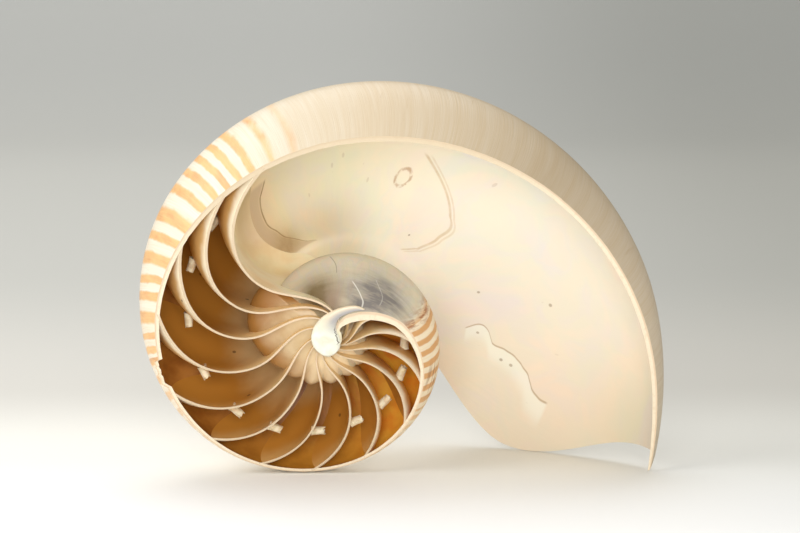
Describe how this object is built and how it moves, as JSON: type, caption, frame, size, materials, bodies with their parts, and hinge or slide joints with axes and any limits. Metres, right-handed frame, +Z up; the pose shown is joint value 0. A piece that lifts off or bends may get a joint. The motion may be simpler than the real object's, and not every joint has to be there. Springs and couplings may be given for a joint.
{
  "type": "nautilus shell half",
  "caption": "Half of a chambered nautilus shell, sawn open to show its pearly body chamber, curved dividing walls and inner coils, standing on its coil and lip as a display piece.",
  "frame": {"origin": "middle of the bounding box at its foot, on the surface that the shell stands on", "axes": "+Z up, +X towards the lip, along the longest side; the sawn open face looks towards -Y and leans 11 degrees forward at its top"},
  "size_m": [0.162, 0.0614, 0.1231],
  "materials": {
    "shell_half": "satin cream outside with tan stripes, pearly inside"
  },
  "bodies": {
    "root": {"shell_half": "shell_half"}
  },
  "joints": []
}
